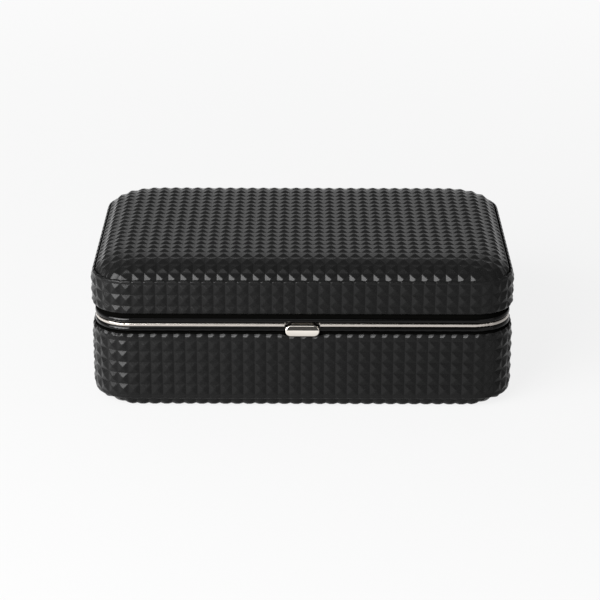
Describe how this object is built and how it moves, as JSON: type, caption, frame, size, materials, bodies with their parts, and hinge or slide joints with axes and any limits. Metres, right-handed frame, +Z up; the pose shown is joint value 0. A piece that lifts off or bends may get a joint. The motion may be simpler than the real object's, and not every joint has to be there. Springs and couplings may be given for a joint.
{
  "type": "jewellery case",
  "caption": "Black studded leather jewellery case with rounded corners, a padded hinged lid, black frames with a nickel line and a sprung push-button catch; ring rolls and a mirror inside.",
  "frame": {"origin": "middle of the outline on the table, under the bottom panel", "axes": "+Z up, front with the button at -Y, +X to the right seen from the front"},
  "size_m": [0.23, 0.1476, 0.0834],
  "materials": {
    "studded_leather": "black leather embossed with rows of pyramids, soft sheen",
    "board": "plain fibre board, covered everywhere",
    "black_lacquer": "gloss black lacquer",
    "polished_nickel": "polished nickel plate",
    "plated_steel": "nickel-plated steel, satin",
    "spring_steel": "blued spring strip",
    "suede_lining": "grey-brown suede cloth",
    "wadding": "cotton wadding, covered by the leather",
    "looking_glass": "silvered glass"
  },
  "bodies": {
    "base": {"base_carcass": "board", "base_side_leather": "studded_leather", "base_bottom_panel": "studded_leather", "base_frame": "black_lacquer", "frame_trim": "polished_nickel", "base_lining": "suede_lining", "cross_divider_left": "suede_lining", "cross_divider_right": "suede_lining", "roll_divider": "suede_lining", "left_divider": "suede_lining", "ring_roll_1": "suede_lining", "ring_roll_2": "suede_lining", "ring_roll_3": "suede_lining", "ring_roll_4": "suede_lining", "ring_roll_5": "suede_lining", "ring_roll_6": "suede_lining", "catch_housing": "plated_steel", "catch_spring": "spring_steel", "base_hinge_leaf_left": "plated_steel", "base_hinge_leaf_right": "plated_steel", "hinge_pin_left": "plated_steel", "hinge_pin_right": "plated_steel"},
    "lid": {"lid_carcass": "board", "lid_side_leather": "studded_leather", "lid_padding": "wadding", "lid_top_leather": "studded_leather", "lid_frame": "black_lacquer", "lid_lining": "suede_lining", "mirror_glass": "looking_glass", "mirror_surround": "suede_lining", "lid_hinge_leaf_left": "plated_steel", "lid_hinge_leaf_right": "plated_steel", "catch_hook": "plated_steel"},
    "button": {"button_cap": "polished_nickel", "catch_slider": "plated_steel"}
  },
  "joints": [
    {"name": "lid_hinge", "type": "hinge", "parent": "base", "child": "lid", "pos_m": [0, 0.0713, 0.04895], "axis": [-1, 0, 0], "range_deg": [0, 100]},
    {"name": "button_press", "type": "slide", "parent": "base", "child": "button", "axis": [0, 1, 0], "range_m": [0, 0.0015], "stiffness_N_per_m": 600, "springref_m": -0.003, "deforming": ["catch_spring"]}
  ]
}
